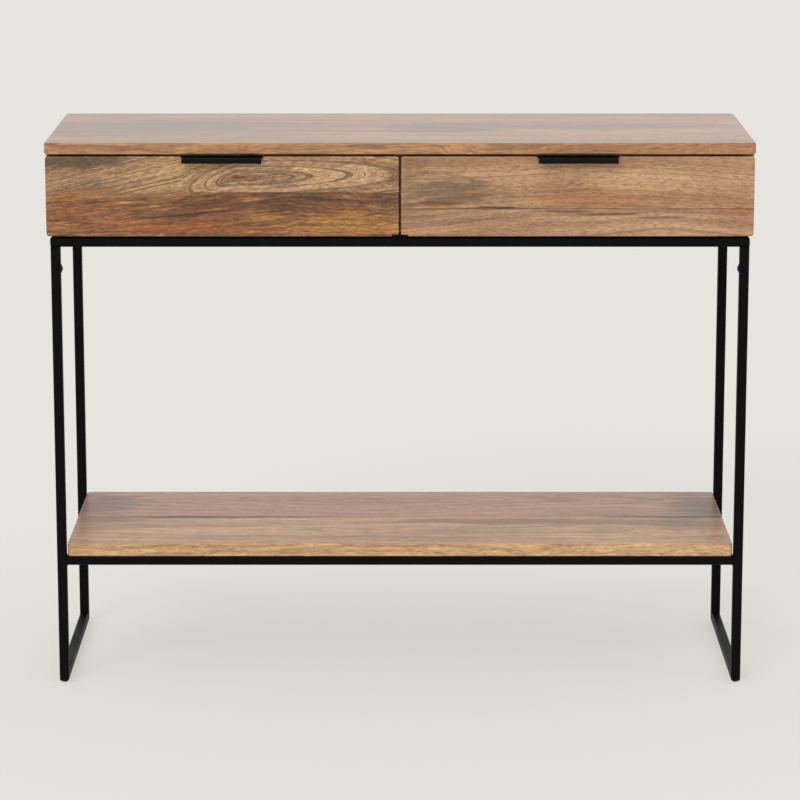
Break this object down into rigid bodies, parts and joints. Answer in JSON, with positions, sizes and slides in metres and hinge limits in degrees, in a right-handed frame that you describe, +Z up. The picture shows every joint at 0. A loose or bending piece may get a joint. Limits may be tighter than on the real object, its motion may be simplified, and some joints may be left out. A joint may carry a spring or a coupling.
{
  "type": "console table",
  "caption": "Slim console table with overlay drawers under a solid wood top, on a black square-tube base with floor runners and a low wooden shelf.",
  "frame": {"origin": "on the floor, at the centre of the outline seen from above, handles included", "axes": "+X along the width, to the right of someone facing the drawers; +Y from the front to the back; +Z up"},
  "size_m": [1.1, 0.368, 0.87],
  "materials": {
    "top_mango": "satin lacquer",
    "front_mango": "satin lacquer",
    "shelf_mango": "satin lacquer",
    "case_mango": "satin lacquer",
    "box_wood": "sanded",
    "plywood": "sanded",
    "dowel_beech": "plain",
    "black_steel": "matt powder coat",
    "handle_steel": "matt powder coat",
    "bolt_steel": "black oxide",
    "slide_steel": "zinc plated",
    "zinc_screws": "zinc plated",
    "glide_plastic": "moulded",
    "bumper_rubber": "soft clear"
  },
  "bodies": {
    "table": {"left_front_leg": "black_steel", "left_rear_leg": "black_steel", "left_floor_runner": "black_steel", "right_front_leg": "black_steel", "right_rear_leg": "black_steel", "right_floor_runner": "black_steel", "ring_front_rail": "black_steel", "ring_rear_rail": "black_steel", "ring_left_rail": "black_steel", "ring_right_rail": "black_steel", "shelf_front_rail": "black_steel", "shelf_rear_rail": "black_steel", "shelf_left_rail": "black_steel", "shelf_right_rail": "black_steel", "leg_spigots": "black_steel", "leg_bolts": "bolt_steel", "floor_glides": "glide_plastic", "front_support_tab": "black_steel", "frame_screws": "bolt_steel", "shelf_front_plank": "shelf_mango", "shelf_rear_plank": "shelf_mango", "top_panel": "top_mango", "left_side_panel": "case_mango", "right_side_panel": "case_mango", "centre_divider": "case_mango", "case_bottom": "case_mango", "back_panel": "plywood", "case_dowels": "dowel_beech", "case_slide_screws": "zinc_screws", "drawer_bumpers": "bumper_rubber", "left_drawer_left_slide_outer": "slide_steel", "left_drawer_right_slide_outer": "slide_steel", "right_drawer_left_slide_outer": "slide_steel", "right_drawer_right_slide_outer": "slide_steel"},
    "left_drawer": {"left_drawer_front": "front_mango", "left_drawer_handle": "handle_steel", "left_drawer_inner_front": "box_wood", "left_drawer_back": "box_wood", "left_drawer_bottom": "plywood", "left_drawer_screws": "zinc_screws", "left_drawer_slide_screws": "zinc_screws", "left_drawer_left_side": "box_wood", "left_drawer_left_slide_inner": "slide_steel", "left_drawer_right_side": "box_wood", "left_drawer_right_slide_inner": "slide_steel"},
    "right_drawer": {"right_drawer_front": "front_mango", "right_drawer_handle": "handle_steel", "right_drawer_inner_front": "box_wood", "right_drawer_back": "box_wood", "right_drawer_bottom": "plywood", "right_drawer_screws": "zinc_screws", "right_drawer_slide_screws": "zinc_screws", "right_drawer_left_side": "box_wood", "right_drawer_left_slide_inner": "slide_steel", "right_drawer_right_side": "box_wood", "right_drawer_right_slide_inner": "slide_steel"},
    "left_slide_middles": {"left_drawer_left_slide_middle": "slide_steel", "left_drawer_right_slide_middle": "slide_steel"},
    "right_slide_middles": {"right_drawer_left_slide_middle": "slide_steel", "right_drawer_right_slide_middle": "slide_steel"}
  },
  "joints": [
    {"name": "left_drawer_slide", "type": "slide", "parent": "table", "child": "left_drawer", "axis": [0, -1, 0], "range_m": [0, 0.29]},
    {"name": "left_slide_middles_slide", "type": "slide", "parent": "table", "child": "left_slide_middles", "axis": [0, -1, 0], "range_m": [0, 0.145]},
    {"name": "right_drawer_slide", "type": "slide", "parent": "table", "child": "right_drawer", "axis": [0, -1, 0], "range_m": [0, 0.29]},
    {"name": "right_slide_middles_slide", "type": "slide", "parent": "table", "child": "right_slide_middles", "axis": [0, -1, 0], "range_m": [0, 0.145]}
  ],
  "couplings": [
    {"joint": "left_slide_middles_slide", "follows": "left_drawer_slide", "ratio": 0.5},
    {"joint": "right_slide_middles_slide", "follows": "right_drawer_slide", "ratio": 0.5}
  ]
}
